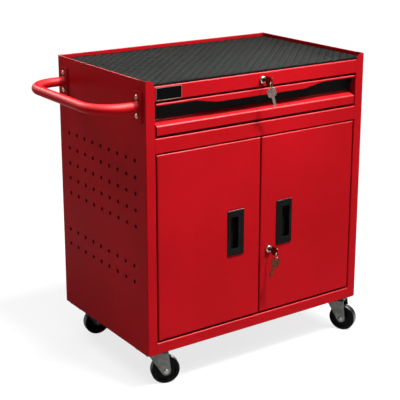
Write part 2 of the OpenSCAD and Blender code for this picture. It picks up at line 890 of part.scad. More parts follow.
// Pan of one door, drawn for the right side, with its inner lip and bush holes
module door_pan() {
    lip_w = door_w - 2 * door_lip;
    lip_h_in = door_h - 2 * door_lip;
    difference() {
        translate([door_x, front, door_z]) {
            pan(door_w, door_d, door_h);
            difference() {
                translate([-door_w / 2, door_d - sheet_t, 0]) cube([door_w, sheet_t, door_h]);
                translate([-lip_w / 2, door_d - sheet_t - cut, door_lip])
                    cube([lip_w, sheet_t + 2 * cut, lip_h_in]);
            }
        }
        for (z = [door_z, door_top - sheet_t]) translate([pivot_x, pivot_y, z - cut])
            cylinder(d = bush_d + 2 * loose_fit, h = sheet_t + 2 * cut);
        along_y(front - cut, front + sheet_t + cut) translate([pull_x, pull_z])
            round_rect(cup_w + 2 * loose_fit, cup_h + 2 * loose_fit, cup_r);
    }
}

module left_door_panel() {
    color(red) difference() {
        mirror([1, 0, 0]) door_pan();
        translate([bolt_x, bolt_y, door_top - sheet_t - cut])
            cylinder(d = rod_d + 4 * loose_fit, h = sheet_t + 2 * cut);
    }
}

module right_door_panel() {
    color(red) difference() {
        door_pan();
        front_hole(door_lock_x, door_lock_z, barrel_d + 2 * loose_fit);
    }
}

// Moulded finger pull of the right door: rim, snap-in cup and an undercut mouth towards the hinge
module door_pull() {
    translate([pull_x, front, pull_z]) difference() {
        union() {
            intersection() {
                translate([0, -rim_t, -pull_h / 2]) soft_block(pull_w, rim_t, pull_h, rim_soft);
                along_y(-rim_t, 0) round_rect(pull_w, pull_h, pull_r);
            }
            along_y(0, cup_d) round_rect(cup_w, cup_h, cup_r);
            for (s = [-1, 1]) translate([-snap_w / 2, sheet_t + snap_play, s * cup_h / 2 - snap_out])
                cube([snap_w, snap_d, 2 * snap_out]);
        }
        along_y(mouth_edge, cup_d - cup_wall)
            round_rect(cup_w - 2 * cup_wall, cup_h - 2 * cup_wall, cup_r - cup_wall / 2);
        along_y(-rim_t - cut, cup_d - cup_wall) translate([mouth_shift, 0])
            round_rect(mouth_w, mouth_h, pull_r);
    }
}

module left_door_pull() {
    color(black) mirror([1, 0, 0]) door_pull();
}

module right_door_pull() {
    color(black) door_pull();
}

// Upper and lower bush of the right door: the lower one carries the door on the bottom rail
module hinge_bushes() {
    lower_flange = door_bottom_gap - loose_fit / 2;
    difference() {
        union() {
            translate([pivot_x, pivot_y, door_top]) cylinder(d = bush_flange_d, h = bush_flange_h);
            translate([pivot_x, pivot_y, door_top - bush_len]) cylinder(d = bush_d, h = bush_len);
            translate([pivot_x, pivot_y, door_z - lower_flange])
                cylinder(d = bush_flange_d, h = lower_flange);
            translate([pivot_x, pivot_y, door_z]) cylinder(d = bush_d, h = bush_len);
        }
        translate([pivot_x, pivot_y, base_z]) cylinder(d = pin_d + 2 * run_fit, h = body_h);
    }
}

module left_hinge_bushes() {
    color(nylon) mirror([1, 0, 0]) hinge_bushes();
}

module right_hinge_bushes() {
    color(nylon) hinge_bushes();
}

// Headed pins through the flanges of the rails
module hinge_pins() {
    color(steel) both_sides() {
        translate([pivot_x, pivot_y, middle_rail_z + sheet_t]) cylinder(d = pin_head_d, h = pin_head_h);
        translate([pivot_x, pivot_y, door_top - bush_len])
            cylinder(d = pin_d, h = middle_rail_z + sheet_t - door_top + bush_len);
        translate([pivot_x, pivot_y, bottom_rail_z - sheet_t - pin_head_h])
            cylinder(d = pin_head_d, h = pin_head_h);
        translate([pivot_x, pivot_y, bottom_rail_z - sheet_t])
            cylinder(d = pin_d, h = sheet_t + door_bottom_gap + bush_len);
    }
}

// Two saddles behind the left door that guide its bolt
module bolt_guides() {
    color(zinc) difference() {
        for (z = [guide_z, guide_z - guide_gap - guide_h])
            translate([bolt_x - guide_w / 2, front + sheet_t, z]) cube([guide_w, guide_d, guide_h]);
        translate([bolt_x, bolt_y, guide_z - guide_gap - guide_h - cut])
            cylinder(d = rod_d + 2 * loose_fit, h = guide_gap + 2 * guide_h + 2 * cut);
    }
}

// Rod and finger knob of the left door's bolt, drawn back
module door_bolt() {
    rod_z = guide_z - guide_gap - 2 * guide_h;
    knob_z = guide_z - guide_gap + knob_d / 2 + 1;
    color(steel) {
        translate([bolt_x, bolt_y, rod_z]) cylinder(d = rod_d, h = door_top - 1 - rod_z);
        translate([bolt_x, bolt_y + knob_len, knob_z]) rotate([90, 0, 0]) cylinder(d = knob_d, h = knob_len);
    }
}

// Turns a lock drawn upright so that its axis runs to the rear from the front face
module lock_at(x, z) {
    translate([x, front, z]) rotate([-90, 0, 0]) children();
}

module lock_barrel() {
    difference() {
        union() {
            translate([0, 0, -head_h]) cylinder(d1 = head_d - 2 * head_soft, d2 = head_d, h = head_soft);
            translate([0, 0, head_soft - head_h]) cylinder(d = head_d, h = head_h - head_soft);
            cylinder(d = barrel_d, h = barrel_len);
        }
        translate([0, 0, -head_h - cut])
            cylinder(d = plug_d + 2 * run_fit, h = head_h + barrel_len + 2 * cut);
        translate([0, 0, -head_h - cut]) cylinder(d = plug_flange_d + 2 * loose_fit, h = plug_seat + cut);
    }
    difference() {
        translate([0, 0, sheet_t]) cylinder(d = lock_nut_w, h = lock_nut_h, $fn = 6);
        cylinder(d = barrel_d + 2 * run_fit, h = 2 * barrel_len);
    }
}

// Plug with its keyway and the square drive of the cam
module lock_plug() {
    face = loose_fit - head_h;
    difference() {
        union() {
            translate([0, 0, face]) cylinder(d = plug_flange_d, h = plug_flange_h);
            translate([0, 0, face]) cylinder(d = plug_d, h = cam_y - face);
            translate([-drive_w / 2, -drive_w / 2, cam_y]) cube([drive_w, drive_w, cam_t]);
        }
        translate([-key_t / 2 - key_play, -blade_h / 2 - 2 * key_play, -head_h - cut])
            cube([key_t + 2 * key_play, blade_h + 4 * key_play, blade_len + 2 * cut]);
    }
}

// Cam and its screw, pointing to the right
module lock_cam() {
    drive_hole = drive_w + 2 * drive_play;
    translate([0, 0, cam_y]) difference() {
        linear_extrude(cam_t) {
            circle(cam_hub_r);
            translate([0, -cam_tip_r]) square([cam_len - cam_tip_r, 2 * cam_tip_r]);
            translate([cam_len - cam_tip_r, 0]) circle(cam_tip_r);
        }
        translate([0, 0, cam_t / 2]) cube([drive_hole, drive_hole, 2 * cam_t], center = true);
    }
    translate([0, 0, cam_y + cam_t]) cylinder(d = cam_screw_d, h = cam_t);
}

// Flat key in depth and height: the blade points along +X, and the lock face is at 0
module key_outline() {
    difference() {
        union() {
            translate([-neck_len - 1, -blade_h / 2]) square([neck_len + 1 + blade_len, blade_h]);
            translate([-neck_len - bow_len / 2, 0]) round_rect(bow_len, bow_w, bow_r);
        }
        translate([-neck_len - bow_len + key_hole_in, 0]) circle(d = key_hole_d);
    }
}

// Key in its lock, whose axis passes the given place
module key_in_lock(x, z) {
    translate([x - key_t / 2, front - head_h, z]) rotate([90, 0, 90]) linear_extrude(key_t) key_outline();
}

// Moves from the hole of a key in its lock to the top of the ring's wire
module ring_at(x, z) {
    translate([x, front - key_hole_y, z - hang]) rotate(ring_yaw) children();
}

module key_ring() {
    translate([0, 0, -ring_r]) rotate([90, 0, 0]) rotate_extrude() translate([ring_r, 0]) circle(d = wire_d);
}

// Second key, hanging from the bottom of the ring with its blade down
module spare_key() {
    translate([0, 0, -2 * ring_r - hang]) rotate(spare_yaw - ring_yaw)
        translate([-key_t / 2, 0, 0]) rotate([90, 0, 90]) linear_extrude(key_t) rotate(spare_tilt - 90)
            translate([neck_len + bow_len - key_hole_in, 0]) key_outline();
}

module door_lock_barrel() {
    color(steel) lock_at(door_lock_x, door_lock_z) lock_barrel();
}

module door_lock_plug() {
    color(steel) lock_at(door_lock_x, door_lock_z) lock_plug();
}

module door_lock_cam() {
    color(zinc) lock_at(door_lock_x, door_lock_z) rotate(90) lock_cam();
}

module door_key() {
    color(steel) key_in_lock(door_lock_x, door_lock_z);
}

module door_key_ring() {
    color(steel) ring_at(door_lock_x, door_lock_z) key_ring();
}

module door_spare_key() {
    color(steel) ring_at(door_lock_x, door_lock_z) spare_key();
}

module drawer_lock_barrel() {
    color(steel) lock_at(0, drawer_lock_z) lock_barrel();
}

module drawer_lock_plug() {
    color(steel) lock_at(0, drawer_lock_z) lock_plug();
}

module drawer_lock_cam() {
    color(zinc) lock_at(0, drawer_lock_z) lock_cam();
}

module drawer_key() {
    color(steel) key_in_lock(0, drawer_lock_z);
}

module drawer_key_ring() {
    color(steel) ring_at(0, drawer_lock_z) key_ring();
}

// Places a child at each caster bolt, at the underside of the body
module caster_bolt_places() {
    for (c = casters, x = [-bolt_px, bolt_px], y = [-bolt_py, bolt_py])
        translate([c[0] + x, c[1] + y, base_z]) children();
}

// Top plate with the upper ball race pressed from it
module caster_plates() {
    color(zinc) difference() {
        for (c = casters) translate([c[0], c[1], base_z]) {
            translate([0, 0, -top_plate_t]) linear_extrude(top_plate_t)
                round_rect(top_plate_l, top_plate_w, top_plate_r);
            translate([0, 0, -top_plate_t - race_h])
                cylinder(r1 = race_r, r2 = race_r + race_flare, h = race_h);
        }
        for (c = casters) translate([c[0], c[1], base_z]) {
            translate([0, 0, -top_plate_t - race_h - cut])
                cylinder(d = kingpin_d + 2 * run_fit, h = top_plate_t + race_h + 2 * cut);
            translate([0, 0, -pin_top_h]) cylinder(d = pin_top_d + 2 * loose_fit, h = pin_top_h + cut);
        }
        caster_bolt_places() translate([0, 0, -top_plate_t - cut])
            cylinder(d = caster_bolt_d + 2 * loose_fit, h = top_plate_t + 2 * cut);
    }
}

// Pivot rivets: the upper head lies in the top plate, and the lower one carries the fork
module kingpins() {
    fork_under = crown_z - fork_t - loose_fit;
    head_under = base_z - pin_top_h;
    color(zinc) for (c = casters) translate([c[0], c[1], 0]) {
        translate([0, 0, head_under]) cylinder(d = pin_top_d, h = pin_top_h);
        translate([0, 0, fork_under]) cylinder(d = kingpin_d, h = head_under - fork_under);
        translate([0, 0, fork_under - pin_foot_h])
            cylinder(d1 = pin_foot_d - 2 * pin_foot_h * 2 / 3, d2 = pin_foot_d, h = pin_foot_h);
    }
}

module caster_bolts() {
    color(zinc) caster_bolt_places() {
        translate([0, 0, sheet_t]) cylinder(d = bolt_head_d, h = bolt_head_h);
        translate([0, 0, -top_plate_t - bolt_nut_h]) {
            cylinder(d = caster_bolt_d, h = bolt_nut_h + top_plate_t + sheet_t);
            cylinder(d = bolt_head_d, h = bolt_nut_h, $fn = 6);
        }
    }
}

// Draws one piece of a caster, whose wheel trails along +X and whose axle lies along Y
module caster_piece(i) {
    translate([casters[i][0], casters[i][1], 0]) rotate(casters[i][2]) children();
}

// Pressed fork: a bent channel trimmed to the outline of its legs
module fork() {
    eye = [trail, axle_z];
    fore = [fork_fore, crown_z + cut];
    aft = [-fork_rear, crown_z + cut];
    difference() {
        intersection() {
            along_x(-fork_rear - cut, fork_fore + trail) folded([
                [-fork_x, axle_z - 2 * fork_eye],
                [-fork_x, crown_z - fork_t / 2],
                [fork_x, crown_z - fork_t / 2],
                [fork_x, axle_z - 2 * fork_eye]], t = fork_t, r = fork_bend);
            along_y(-fork_gap, fork_gap) {
                polygon([aft, tangent(aft, eye, fork_eye, 1), eye, tangent(fore, eye, fork_eye, -1), fore]);
                translate(eye) circle(fork_eye);
            }
        }
        translate([0, 0, crown_z - 2 * fork_t]) cylinder(d = kingpin_d + 2 * run_fit, h = 3 * fork_t);
        translate([trail, fork_gap, axle_z]) rotate([90, 0, 0])
            cylinder(d = axle_d + 2 * run_fit, h = 2 * fork_gap);
    }
}

// Axle bolt with a domed head towards the front and a nut on the far leg
module axle() {
    grip = fork_gap / 2 + fork_t;
    translate([trail, 0, axle_z]) rotate([90, 0, 0]) {
        translate([0, 0, -grip - axle_tail]) cylinder(d = axle_d, h = 2 * grip + axle_tail);
        translate([0, 0, grip]) cylinder(d = axle_head_d, h = axle_head_h / 2);
        translate([0, 0, grip + axle_head_h / 2])
            cylinder(d1 = axle_head_d, d2 = axle_d, h = axle_head_h / 2);
        translate([0, 0, -grip - axle_nut_h]) cylinder(d = axle_nut_d, h = axle_nut_h, $fn = 6);
    }
}

// Wheel in section: hub, web and a tread with round shoulders
module wheel() {
    bore_r = axle_d / 2 + run_fit;
    hub_w = fork_gap - 2 * loose_fit;
    tread_w = wheel_w - 2 * shoulder;
    translate([trail, 0, axle_z]) rotate([90, 0, 0]) rotate_extrude() {
        translate([bore_r, -hub_w / 2]) square([wheel_hub_r - bore_r, hub_w]);
        translate([wheel_hub_r - cut, -wheel_web_w / 2])
            square([wheel_rim_r - wheel_hub_r + 2 * cut, wheel_web_w]);
        translate([wheel_rim_r, -wheel_w / 2]) square([wheel_d / 2 - shoulder - wheel_rim_r, wheel_w]);
        translate([wheel_rim_r, -tread_w / 2]) square([wheel_d / 2 - wheel_rim_r, tread_w]);
        for (s = [-1, 1]) translate([wheel_d / 2 - shoulder, s * tread_w / 2]) circle(shoulder);
    }
}

module caster_fork(i) {
    color(zinc) caster_piece(i) fork();
}

module caster_axle(i) {
    color(zinc) caster_piece(i) axle();
}

module caster_wheel(i) {
    color(black) caster_piece(i) wheel();
}

stand() left_side_panel();
stand() right_side_panel();
stand() back_panel();
stand() bottom_panel();
stand() top_panel();
stand() middle_rail();
stand() top_mat();
stand() shelf();
stand() shelf_angles();
stand() handle_tube();
stand() handle_plates();
stand() handle_screws();
stand() slide_brackets();
stand() slide_outer_members();
stand() hinge_pins();
stand() drawer_lock_barrel();
stand() caster_plates();
stand() caster_bolts();
stand() kingpins();
stand() drawer_front();
stand() drawer_box();
stand() drawer_liner();
stand() slide_inner_members();
stand() ball_cages();
stand() slide_balls();
stand() left_door_panel();
stand() left_door_pull();
stand() left_hinge_bushes();
stand() bolt_guides();
stand() door_bolt();
stand() right_door_panel();
stand() right_door_pull();
stand() right_hinge_bushes();
stand() door_lock_barrel();
stand() door_lock_plug();
stand() door_lock_cam();
stand() door_key();
stand() door_key_ring();
stand() door_spare_key();
stand() drawer_lock_plug();
stand() drawer_lock_cam();
stand() drawer_key();
stand() drawer_key_ring();
stand() caster_fork(0);  // front_left_fork
stand() caster_axle(0);  // front_left_axle
stand() caster_wheel(0);  // front_left_wheel
stand() caster_fork(1);  // front_right_fork
stand() caster_axle(1);  // front_right_axle
stand() caster_wheel(1);  // front_right_wheel
stand() caster_fork(2);  // rear_left_fork
stand() caster_axle(2);  // rear_left_axle
stand() caster_wheel(2);  // rear_left_wheel
stand() caster_fork(3);  // rear_right_fork
stand() caster_axle(3);  // rear_right_axle
stand() caster_wheel(3);  // rear_right_wheel
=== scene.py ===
import bpy
import bmesh
import json
import math
from mathutils import Matrix, Vector


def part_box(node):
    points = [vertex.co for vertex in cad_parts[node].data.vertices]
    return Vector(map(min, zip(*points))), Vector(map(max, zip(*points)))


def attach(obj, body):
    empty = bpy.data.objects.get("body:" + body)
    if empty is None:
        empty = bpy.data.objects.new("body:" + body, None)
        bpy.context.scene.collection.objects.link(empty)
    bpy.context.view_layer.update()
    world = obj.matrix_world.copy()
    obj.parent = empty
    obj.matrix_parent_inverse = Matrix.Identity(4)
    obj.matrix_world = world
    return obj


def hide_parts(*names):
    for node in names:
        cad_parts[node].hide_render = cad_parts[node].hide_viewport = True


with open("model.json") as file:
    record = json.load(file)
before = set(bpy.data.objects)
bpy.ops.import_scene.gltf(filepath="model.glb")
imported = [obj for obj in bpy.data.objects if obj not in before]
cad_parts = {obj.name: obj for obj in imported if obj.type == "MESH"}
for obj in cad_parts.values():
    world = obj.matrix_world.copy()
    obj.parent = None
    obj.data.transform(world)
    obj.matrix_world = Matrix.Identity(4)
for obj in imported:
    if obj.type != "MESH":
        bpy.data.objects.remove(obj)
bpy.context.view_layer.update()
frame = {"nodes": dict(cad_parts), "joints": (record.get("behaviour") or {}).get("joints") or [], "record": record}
nodes = frame["nodes"]
scene = bpy.context.scene
scene.view_settings.view_transform = "Standard"
print("frame loaded:", len(nodes), "nodes")

# the cabinet's middle and front face, from its side panels
leftSide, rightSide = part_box("left_side_panel"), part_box("right_side_panel")
middleX = (leftSide[0].x + rightSide[1].x) / 2
frontY = leftSide[0].y


def linear(shade):  # one screen value, 0 to 255, to linear light by the standard curve
    level = shade / 255
    return level / 12.92 if shade < 11 else ((level + 0.055) / 1.055) ** 2.4


def rgb(red, green, blue):
    return linear(red), linear(green), linear(blue), 1.0


class Tone:  # a socket that takes part in sums
    def __init__(self, paint, socket):
        self.paint = paint
        self.socket = socket

    def sum(self, operation, first, second):
        return self.paint.node("ShaderNodeMath", {"operation": operation}, {0: first, 1: second})

    def __add__(self, other):
        return self.sum("ADD", self, other)

    def __radd__(self, other):
        return self.sum("ADD", other, self)

    def __rsub__(self, other):
        return self.sum("SUBTRACT", other, self)

    def __mul__(self, other):
        return self.sum("MULTIPLY", self, other)

    def __rmul__(self, other):
        return self.sum("MULTIPLY", other, self)


# bends are found by how far up their softened normal looks: more than on upright, less than on level sheet
slope = {"upright": (0.12, 0.35), "level": (0.93, 0.99), "samples": 6}


class Paint:  # one material with its nodes
    def __init__(self, name, **constants):
        self.material = bpy.data.materials.new(name)
        self.material.use_nodes = True
        self.tree = self.material.node_tree
        self.shader = self.tree.nodes["Principled BSDF"]
        for socket, value in constants.items():
            self.shader.inputs[socket].default_value = value
        self.place = self.node("ShaderNodeTexCoord", {}, {}, "Object")

    def node(self, kind, settings, sockets, out=0):
        made = self.tree.nodes.new(kind)
        for name, value in settings.items():
            setattr(made, name, value)
        for name, value in sockets.items():
            if isinstance(value, Tone):
                self.tree.links.new(value.socket, made.inputs[name])
            else:
                made.inputs[name].default_value = value
        return Tone(self, made.outputs[out])

    def stretch(self, scale, turn=(0, 0, 0)):
        return self.node("ShaderNodeMapping", {}, {"Vector": self.place, "Rotation": turn, "Scale": scale})

    def noise(self, grain, place=None):  # the grain is a scale and a detail
        scale, detail = grain
        sockets = {"Vector": place or self.place, "Scale": scale, "Detail": detail}
        return self.node("ShaderNodeTexNoise", {}, sockets)

    def cells(self, scale, out="Distance"):
        return self.node("ShaderNodeTexVoronoi", {}, {"Vector": self.place, "Scale": scale}, out)

    def along(self, vector, axis):  # a vector's length along X, Y or Z
        return self.node("ShaderNodeSeparateXYZ", {}, {"Vector": vector}, axis)

    def dot(self, first, second):
        return self.node("ShaderNodeVectorMath", {"operation": "DOT_PRODUCT"}, {0: first, 1: second}, "Value")

    def step(self, value, limits):  # 0 under the lower limit, 1 over the upper one
        low, high = limits
        sockets = {"Value": value, "From Min": low, "From Max": high}
        return self.node("ShaderNodeMapRange", {"interpolation_type": "SMOOTHSTEP"}, sockets)

    def mix(self, factor, first, second):  # a Mix node's colours are its inputs 6 and 7 and its output 2
        return self.node("ShaderNodeMix", {"data_type": "RGBA"}, {0: factor, 6: first, 7: second}, 2)

    def bump(self, height, push, normal=None):  # the push is a strength and a distance
        strength, distance = push
        sockets = {"Height": height, "Strength": strength, "Distance": distance}
        if normal:
            sockets["Normal"] = normal
        return self.node("ShaderNodeBump", {}, sockets)

    def softNormal(self, radius):
        return self.node("ShaderNodeBevel", {"samples": slope["samples"]}, {"Radius": radius})

    def bends(self, soft):  # 1 on bends and edges that face up, 0 on flat sheet
        ways = {"vector_type": "NORMAL", "convert_from": "WORLD", "convert_to": "OBJECT"}
        own = self.node("ShaderNodeVectorTransform", ways, {"Vector": soft})
        up = self.along(own, "Z")
        return self.step(up, slope["upright"]) * (1 - self.step(up, slope["level"]))

    def use(self, **looks):  # feeds the shader's own sockets
        for name, value in looks.items():
            self.tree.links.new(value.socket, self.shader.inputs[name.replace("_", " ")])
        return self.material


# red powder coat: orange peel, soft cloudiness, bends polished by hands and cloths
redLook = {"deep": rgb(119, 8, 13), "bright": rgb(127, 9, 16), "rubbed": rgb(168, 24, 26),
           "gloss": 0.01, "polish": 0.6, "coatRough": 0.38, "bend": 0.0010, "above": 0.0, "fade": 0.01,
           "cloud": (4.0, 3.0), "cloudAt": (0.3, 0.7), "peel": (480.0, 2.0), "peelBump": (0.04, 0.001),
           "grit": (2600.0, 1.0), "lines": (9.0, 4.0), "drawn": (1.5, 1.5, 30.0),
           "lineAt": (0.70, 0.80), "lineWear": 0.10, "wearAt": (0.9, 1.2), "bendWear": 0.25,
           "rough": 0.24, "cloudRough": 0.08, "gritRough": 0.04, "wearRough": 0.6}
# handle tube: the same red paint made lighter, painted light on the tube, with a broader, rougher coat
handleLitLook = {**redLook, "deep": rgb(132, 11, 15), "bright": rgb(141, 14, 18), "rubbed": rgb(176, 40, 40),
              "polish": 0.55, "coatRough": 0.55, "bend": 0.0004}
# side panels: rim is a painted shade colour that darkens the edges of the punched holes
sideLook = {**redLook, "above": 0.74, "rim": rgb(26, 2, 3), "rimWide": 0.0018, "rimAt": (0.98, 0.9998),
            "rimFrom": (0.02, 0.025)}


def redCoat(name, look):
    p = Paint(name, **{"Specular IOR Level": look["gloss"], "Coat Roughness": look["coatRough"]})
    soft = p.softNormal(look["bend"])
    upper = p.step(p.along(p.place, "Z"), (look["above"] - look["fade"], look["above"]))
    bend = p.bends(soft) * upper
    cloud = p.noise(look["cloud"])
    grit = p.noise(look["grit"])
    lines = p.noise(look["lines"], p.stretch(look["drawn"]))
    rubbed = look["lineWear"] * p.step(lines, look["lineAt"])
    rubbed = rubbed + bend * p.step(grit + cloud, look["wearAt"]) * look["bendWear"]
    colour = p.mix(p.step(cloud, look["cloudAt"]), look["deep"], look["bright"])
    colour = p.mix(rubbed, colour, look["rubbed"])
    if "rim" in look:  # painted shade: the rims of the punched holes and other sheet edges, behind the stile and under the polished top, are darkened as if in shadow
        flat = p.node("ShaderNodeNewGeometry", {}, {}, "True Normal")
        rimShade = 1 - p.step(p.dot(p.softNormal(look["rimWide"]), flat), look["rimAt"])
        start, end = look["rimFrom"]
        field = p.step(p.along(p.place, "Y"), (frontY + start, frontY + end)) * (1 - upper)
        colour = p.mix(rimShade * field, colour, look["rim"])
    rough = look["rough"] + cloud * look["cloudRough"] + grit * look["gritRough"] + rubbed * look["wearRough"]
    return p.use(Base_Color=colour, Roughness=rough, Coat_Weight=bend * look["polish"],
                 Normal=p.bump(p.noise(look["peel"]), look["peelBump"], soft))


# dark rubber of the worktop: speckled, with faint slanting bands, dust and a slow change across the mat
matLook = {"groove": rgb(5, 6, 5), "top": rgb(22, 23, 21), "dusty": rgb(34, 35, 32), "gloss": 0.06,
           "band": {"Scale": 16.4, "Distortion": 0.6, "Detail": 2.0, "Detail Scale": 1.5}, "turn": 45.0,
           "bandShare": 0.17, "speck": (150.0, 3.0), "speckShare": 0.9, "topAt": (0.42, 0.9),
           "cloud": (7.0, 4.0), "cloudShare": 0.25, "cloudRough": 0.15,
           "dust": (60.0, 5.0), "dustAt": (0.55, 0.8), "dustShare": 0.25,
           "grain": (1500.0, 3.0), "grainBump": (0.25, 0.0006), "rough": 0.62, "grainRough": 0.1}
# a darker copy of the mat rubber: painted shade along the mat's front
matShadedEdgeLook = {**matLook, "groove": rgb(3, 3, 3), "top": rgb(7, 7, 7), "dusty": rgb(14, 14, 13)}


def matRubber(name, look):
    p = Paint(name, **{"Specular IOR Level": look["gloss"]})
    across = p.stretch((1.0, 1.0, 1.0), (0, 0, math.radians(look["turn"])))
    waves = {"wave_type": "BANDS", "bands_direction": "X", "wave_profile": "SIN"}
    band = p.node("ShaderNodeTexWave", waves, {"Vector": across, **look["band"]}, "Fac")
    grain = p.noise(look["grain"])
    cloud = p.noise(look["cloud"])
    dust = p.step(p.noise(look["dust"]), look["dustAt"])
    tone = band * look["bandShare"] + p.noise(look["speck"]) * look["speckShare"] + cloud * look["cloudShare"]
    colour = p.mix(p.step(tone, look["topAt"]), look["groove"], look["top"])
    colour = p.mix(dust * look["dustShare"], colour, look["dusty"])
    rough = look["rough"] + cloud * look["cloudRough"] + grain * look["grainRough"]
    return p.use(Base_Color=colour, Roughness=rough, Normal=p.bump(grain, look["grainBump"]))


# moulded black plastic with a fine spark-eroded grain, shiny on its upper edges
plasticLook = {"body": rgb(5, 6, 5), "worn": rgb(17, 16, 15), "gloss": 0.04, "coatRough": 0.25,
               "bend": 0.0008, "cloud": (18.0, 3.0), "wornAt": (0.45, 0.75), "wornShare": 0.5,
               "grain": 1400, "grainShare": 0.2, "grainBump": (0.12, 0.0004),
               "rough": 0.42, "cloudRough": 0.14, "grainRough": 0.1}
# drawer liner: a lighter copy of the black plastic, painted light inside the shaded recess
linerLitLook = {**plasticLook, "body": rgb(21, 25, 25), "worn": rgb(35, 37, 36)}


def blackPlastic(name, look):
    p = Paint(name, **{"Specular IOR Level": look["gloss"], "Coat Roughness": look["coatRough"]})
    soft = p.softNormal(look["bend"])
    grain = p.cells(look["grain"])
    cloud = p.noise(look["cloud"])
    worn = p.step(cloud, look["wornAt"]) * look["wornShare"] + grain * look["grainShare"]
    rough = look["rough"] + cloud * look["cloudRough"] + grain * look["grainRough"]
    return p.use(Base_Color=p.mix(worn, look["body"], look["worn"]), Roughness=rough,
                 Coat_Weight=p.bends(soft), Normal=p.bump(grain, look["grainBump"], soft))


# plated steel with faint polishing lines and stains: bright locks, duller keys, plugs, axles and screws
nickelLook = {"bright": rgb(198, 184, 174), "dull": rgb(142, 132, 124), "metal": 1.0,
              "lines": (420.0, 2.0), "drawn": (1.0, 8.0, 1.0), "lineBump": (0.06, 0.0003),
              "stain": (140.0, 4.0), "dullAt": (0.4, 0.75),
              "rough": 0.16, "lineRough": 0.14, "stainRough": 0.08}
keyLook = {**nickelLook, "bright": rgb(142, 128, 118), "dull": rgb(98, 84, 76),
           "lines": (500.0, 2.0), "drawn": (1.0, 1.0, 6.0), "lineBump": (0.08, 0.0003),
           "stain": (160.0, 4.0), "rough": 0.30, "lineRough": 0.12}
# keys: a brown that is painted reflection of the red cabinet and painted shade on plated steel
keyRedReflectionLook = {**keyLook, "bright": rgb(100, 52, 38), "dull": rgb(66, 30, 22)}
plugLook = {**keyLook, "bright": rgb(96, 92, 82), "dull": rgb(52, 50, 42)}
axleLook = {**keyLook, "bright": rgb(128, 129, 127), "dull": rgb(88, 89, 87)}
# handle screws: a pink tint that is painted reflection of the red plates round them
screwRedReflectionLook = {**keyLook, "bright": rgb(190, 152, 138), "dull": rgb(144, 108, 98)}


def platedSteel(name, look):
    p = Paint(name, **{"Metallic": look["metal"]})
    lines = p.noise(look["lines"], p.stretch(look["drawn"]))
    stain = p.noise(look["stain"])
    colour = p.mix(p.step(stain, look["dullAt"]), look["bright"], look["dull"])
    rough = look["rough"] + lines * look["lineRough"] + stain * look["stainRough"]
    return p.use(Base_Color=colour, Roughness=rough, Normal=p.bump(lines, look["lineBump"]))


# zinc plate with its spangle, a little dulled
zincLook = {"light": rgb(88, 89, 86), "dark": rgb(62, 62, 60), "metal": 0.7, "spangle": 160,
            "stain": (45.0, 5.0), "patchShare": 0.25, "darkAt": (0.35, 0.95), "stainBump": (0.05, 0.0005),
            "rough": 0.34, "stainRough": 0.16, "patchRough": 0.06}


def zincPlate(name, look):
    p = Paint(name, **{"Metallic": look["metal"]})
    patch = p.node("ShaderNodeSeparateColor", {}, {0: p.cells(look["spangle"], "Color")})
    stain = p.noise(look["stain"])
    colour = p.mix(p.step(stain + patch * look["patchShare"], look["darkAt"]), look["light"], look["dark"])
    rough = look["rough"] + stain * look["stainRough"] + patch * look["patchRough"]
    return p.use(Base_Color=colour, Roughness=rough, Normal=p.bump(stain, look["stainBump"]))


# hard black rubber of the wheels, dull on the sides and worn shiny where it rolls
wheelLook = {"black": rgb(4, 4, 4), "dusty": rgb(18, 17, 17), "gloss": 0.04, "coatRough": 0.28,
             "sideAt": (0.1, 0.5), "scuff": (70.0, 5.0), "scuffAt": (0.5, 0.85), "scuffShare": 0.5,
             "grain": (900.0, 3.0), "grainShare": 0.1, "grainBump": (0.08, 0.0005),
             "rough": 0.30, "scuffRough": 0.2, "grainRough": 0.08}


def wheelRubber(name, look, axis):
    p = Paint(name, **{"Specular IOR Level": look["gloss"], "Coat Roughness": look["coatRough"]})
    side = p.dot(p.node("ShaderNodeTexCoord", {}, {}, "Normal"), axis)
    tread = 1 - p.step(side * side, look["sideAt"])
    grain = p.noise(look["grain"])
    scuff = p.noise(look["scuff"])
    dusty = p.step(scuff, look["scuffAt"]) * look["scuffShare"] + grain * look["grainShare"]
    rough = look["rough"] + scuff * look["scuffRough"] + grain * look["grainRough"]
    return p.use(Base_Color=p.mix(dusty, look["black"], look["dusty"]), Roughness=rough,
                 Coat_Weight=tread, Normal=p.bump(grain, look["grainBump"]))


# black nylon of the pivot bushes
nylonLook = {"black": rgb(8, 8, 8), "greasy": rgb(22, 20, 17), "gloss": 0.05,
             "stain": (120.0, 4.0), "greaseAt": (0.5, 0.8), "greaseShare": 0.5,
             "grain": (1800.0, 2.0), "grainBump": (0.06, 0.0004), "rough": 0.4, "stainRough": 0.15}


def blackNylon(name, look):
    p = Paint(name, **{"Specular IOR Level": look["gloss"]})
    stain = p.noise(look["stain"])
    grease = p.step(stain, look["greaseAt"]) * look["greaseShare"]
    return p.use(Base_Color=p.mix(grease, look["black"], look["greasy"]),
                 Roughness=look["rough"] + stain * look["stainRough"],
                 Normal=p.bump(p.noise(look["grain"]), look["grainBump"]))


finishes = {"red_paint": redCoat("redCoat", redLook),
            "rubber_mat": matRubber("matRubber", matLook),
            "bright_steel": platedSteel("brightNickel", nickelLook),
            "zinc_steel": zincPlate("zincPlate", zincLook),
            "black_plastic": blackPlastic("blackPlastic", plasticLook),
            "nylon": blackNylon("blackNylon", nylonLook)}
for part in frame["record"]["subparts"]:
    for slot in nodes[part["node"]].material_slots:
        slot.material = finishes.get(part["material_slot"])  # the wheels get theirs further down

